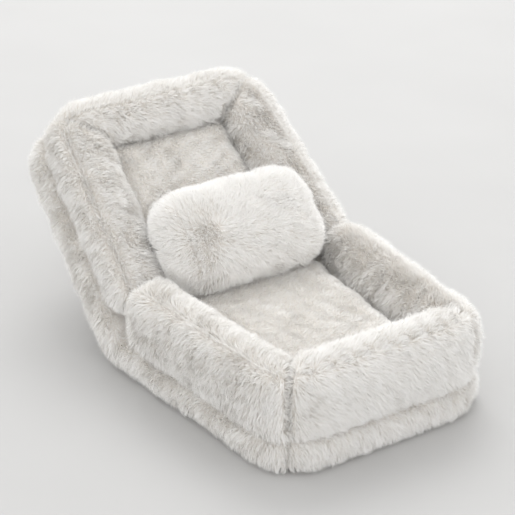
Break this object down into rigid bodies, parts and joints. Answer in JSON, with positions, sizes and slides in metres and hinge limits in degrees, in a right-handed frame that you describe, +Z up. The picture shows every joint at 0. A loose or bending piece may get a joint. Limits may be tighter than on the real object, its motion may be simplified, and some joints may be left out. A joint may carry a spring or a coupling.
{
  "type": "reclining plush pet bed",
  "caption": "Long-pile plush pet bed shaped as a low recliner: raised rim, loose seat cushion, tilting padded back and loose lumbar pillow.",
  "frame": {"origin": "middle of the whole width and length, on the floor", "axes": "+X to the right in a view from the front, +Y from the front of the seat towards the back, +Z up. Left and right in the node names are as seen from the front, so left is -X"},
  "size_m": [0.41, 0.6722, 0.315],
  "materials": {
    "long_plush": "long-pile faux fur, off-white, clumped and swirled",
    "short_plush": "shorter woolly faux fur, off-white",
    "foam": "open-cell polyurethane foam",
    "fibre_fill": "loose polyester fibre filling",
    "steel": "zinc-plated steel",
    "antislip": "coated woven cloth with small rubber dots",
    "zip_tape": "woven tape",
    "zip_coil": "nylon coil",
    "zip_metal": "nickel-plated zinc"
  },
  "bodies": {
    "seat": {"antislip_sheet": "antislip", "base_cover": "long_plush", "base_foam": "foam", "seat_frame": "steel", "seat_frame_rivets": "steel", "left_seat_leaf": "steel", "right_seat_leaf": "steel", "hinge_rivets": "steel", "spring_washers": "steel", "left_arm_cover": "long_plush", "left_arm_fill": "fibre_fill", "right_arm_cover": "long_plush", "right_arm_fill": "fibre_fill", "front_bolster_cover": "long_plush", "front_bolster_fill": "fibre_fill"},
    "seat_cushion": {"seat_cushion_cover": "short_plush", "seat_cushion_foam": "foam"},
    "pillow": {"pillow_cover": "long_plush", "pillow_fill": "fibre_fill"},
    "back": {"back_cover": "long_plush", "back_foam": "foam", "back_frame": "steel", "back_frame_rivets": "steel", "left_back_leaf": "steel", "right_back_leaf": "steel", "left_bolster_cover": "long_plush", "left_bolster_fill": "fibre_fill", "right_bolster_cover": "long_plush", "right_bolster_fill": "fibre_fill", "top_bolster_cover": "long_plush", "top_bolster_fill": "fibre_fill", "back_pad_cover": "short_plush", "back_pad_foam": "foam", "zip_tape": "zip_tape", "zip_coil": "zip_coil"},
    "zip_slider": {"zip_slider": "zip_metal"},
    "zip_pull": {"zip_pull": "zip_metal"}
  },
  "joints": [
    {"name": "back_recline", "type": "hinge", "parent": "seat", "child": "back", "pos_m": [0, 0.04878, 0.025], "axis": [1, 0, 0], "range_deg": [-37.4, 0]},
    {"name": "seat_cushion_lift", "type": "slide", "parent": "seat", "child": "seat_cushion", "axis": [0, 0, 1], "range_m": [0, 0.12]},
    {"name": "pillow_lift", "type": "slide", "parent": "seat_cushion", "child": "pillow", "axis": [0, 0, 1], "range_m": [0, 0.12]},
    {"name": "zip_slide", "type": "slide", "parent": "back", "child": "zip_slider", "axis": [1, 0, 0], "range_m": [0, 0.26]},
    {"name": "zip_pull_flip", "type": "hinge", "parent": "zip_slider", "child": "zip_pull", "pos_m": [-0.1305, 0.13937, 0.06456], "axis": [0, 0.7944, 0.6074], "range_deg": [0, 180]}
  ]
}
